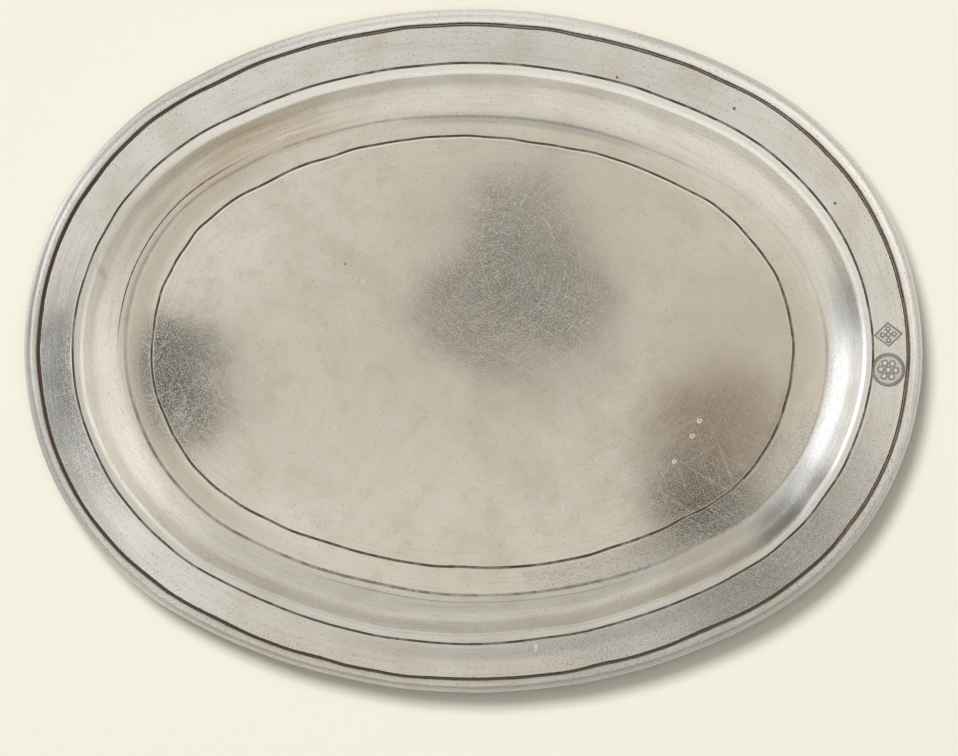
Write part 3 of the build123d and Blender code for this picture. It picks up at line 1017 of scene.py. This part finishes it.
def tent_light(x, y, height):
    """What the light tent gives off towards the tray, at points on it."""
    way = np.degrees(np.arctan2(y, x)) % 360
    zenith = np.degrees(np.arctan2(np.hypot(x, y), height))
    side = np.interp(way, [angle for angle, _ in SIDES], [share for _, share in SIDES], period=360)
    level = np.outer(side, SIDE_TINT)

    def lay(share, colour):
        for channel in range(3):
            level[:, channel] += (colour[channel] - level[:, channel]) * share

    lay(smooth((34 - zenith) / 16), CEILING)
    for angle, card_zenith, half_width, half_height, softness, colour in CARDS:
        beyond_side = np.abs((way - angle + 180) % 360 - 180) - half_width
        beyond_end = np.abs(zenith - card_zenith) - half_height
        lay(smooth(0.5 - beyond_side / softness) * smooth(0.5 - beyond_end / softness), colour)
    for middle_x, middle_y, half_x, half_y, power, softness, colour in SHAPES:
        across, along = np.abs(x - middle_x) / half_x, np.abs(y - middle_y) / half_y
        out = (across**power + along**power) ** (1 / power)
        lay(smooth(0.5 - (out - 1) / softness), colour)
    return level


def tent():
    """The light tent: a low dome that only reflections see, so that it neither hides nor lights anything."""
    rings, spokes = 120, 240
    points, faces = [(0.0, 0.0, TENT_HEIGHT)], []
    for ring in range(1, rings + 1):
        rise = (1 - ring / rings) * pi / 2
        reach, height = TENT_RADIUS * cos(rise), TENT_HEIGHT * sin(rise)
        for spoke in range(spokes):
            way = 2 * pi * spoke / spokes
            points.append((reach * cos(way), reach * sin(way), height))
    for spoke in range(spokes):
        after = (spoke + 1) % spokes
        faces.append((0, 1 + spoke, 1 + after))
        for ring in range(rings - 1):
            first = 1 + ring * spokes
            faces.append((first + spoke, first + spokes + spoke, first + spokes + after, first + after))
    made = bpy.data.meshes.new("light_tent")
    made.from_pydata(points, [], faces)
    light = tent_light(*np.array(points).T)
    colours = np.concatenate([light, np.ones((len(light), 1))], axis=1)
    made.attributes.new("glow", "FLOAT_COLOR", "POINT").data.foreach_set("color", colours.ravel())
    cloth = bpy.data.materials.new("tent_cloth")
    cloth.use_nodes = True
    cloth.cycles.emission_sampling = "NONE"
    tree = cloth.node_tree
    tree.nodes.clear()
    glow = tree.nodes.new("ShaderNodeAttribute")
    glow.attribute_name = "glow"
    emission = tree.nodes.new("ShaderNodeEmission")
    output = tree.nodes.new("ShaderNodeOutputMaterial")
    tree.links.new(glow.outputs["Color"], emission.inputs["Color"])
    tree.links.new(emission.outputs[0], output.inputs[0])
    made.materials.append(cloth)
    return made


def put(mesh):
    made = bpy.data.objects.new(mesh.name, mesh)
    bpy.context.scene.collection.objects.link(made)
    return made


# Lamps: direction, distance, size and watts
KEY_LAMP = ((-0.29, 0.43, 1.0), 8.0, 2.6, 450.0)
TOP_LAMP = ((0.0, 0.02, 1.0), 8.0, 4.2, 138.0)
WORLD_STRENGTH = 0.19


def studio():
    put(floor())
    cloth = put(tent())
    cloth.visible_camera = False
    cloth.visible_diffuse = False
    cloth.visible_shadow = False
    cloth.visible_transmission = False

    # A soft lamp above the far edge and a little to the left, and a softer one overhead
    for way, distance, size, watts in (KEY_LAMP, TOP_LAMP):
        lamp = bpy.data.objects.new("soft_lamp", bpy.data.lights.new("soft_lamp", "AREA"))
        lamp.data.shape = "DISK"
        lamp.data.size = size
        lamp.data.energy = watts
        lamp.location = Vector(way).normalized() * distance
        lamp.rotation_euler = (-lamp.location).to_track_quat("-Z", "Y").to_euler()
        lamp.visible_glossy = False
        bpy.context.scene.collection.objects.link(lamp)

    world = bpy.data.worlds.new("studio")
    bpy.context.scene.world = world
    world.use_nodes = True
    world.node_tree.nodes["Background"].inputs["Color"].default_value = (1, 1, 1, 1)
    world.node_tree.nodes["Background"].inputs["Strength"].default_value = WORLD_STRENGTH
    world.cycles_visibility.glossy = False
    bpy.context.scene.view_settings.view_transform = "Standard"


# Camera: straight above, turned a touch, with the tray a little left of and above the middle of the picture
LENS = 200.0
PICTURE_WIDTH = 281.6  # millimetres across the picture at the rim's height
AIM = (1.7, -8.0)
CAMERA_TURN = 0.3


def camera():
    made = bpy.data.objects.new("camera", bpy.data.cameras.new("camera"))
    made.data.lens = LENS
    distance = PICTURE_WIDTH * MM * LENS / made.data.sensor_width
    made.location = (AIM[0] * MM, AIM[1] * MM, distance + RIM_LINE_HEIGHT * MM)
    made.rotation_euler = (0, 0, radians(CAMERA_TURN))
    bpy.context.scene.collection.objects.link(made)
    bpy.context.scene.camera = made


def piece(mesh, node, material):
    mesh.materials.append(material)
    made = put(mesh)
    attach(made, "root")
    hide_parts(node)


camera()
dish = dish_mesh()
strike(dish)
piece(dish, "dish", Pewter("turned_pewter").finished(DISH_ROUGHNESS))
moulding_pewter = Pewter("moulding_pewter", casting=0.6).finished(MOULDING_ROUGHNESS)
piece(moulding_mesh(), "edge_moulding", moulding_pewter)
piece(solder_mesh(), "solder_fillet", solder())
studio()
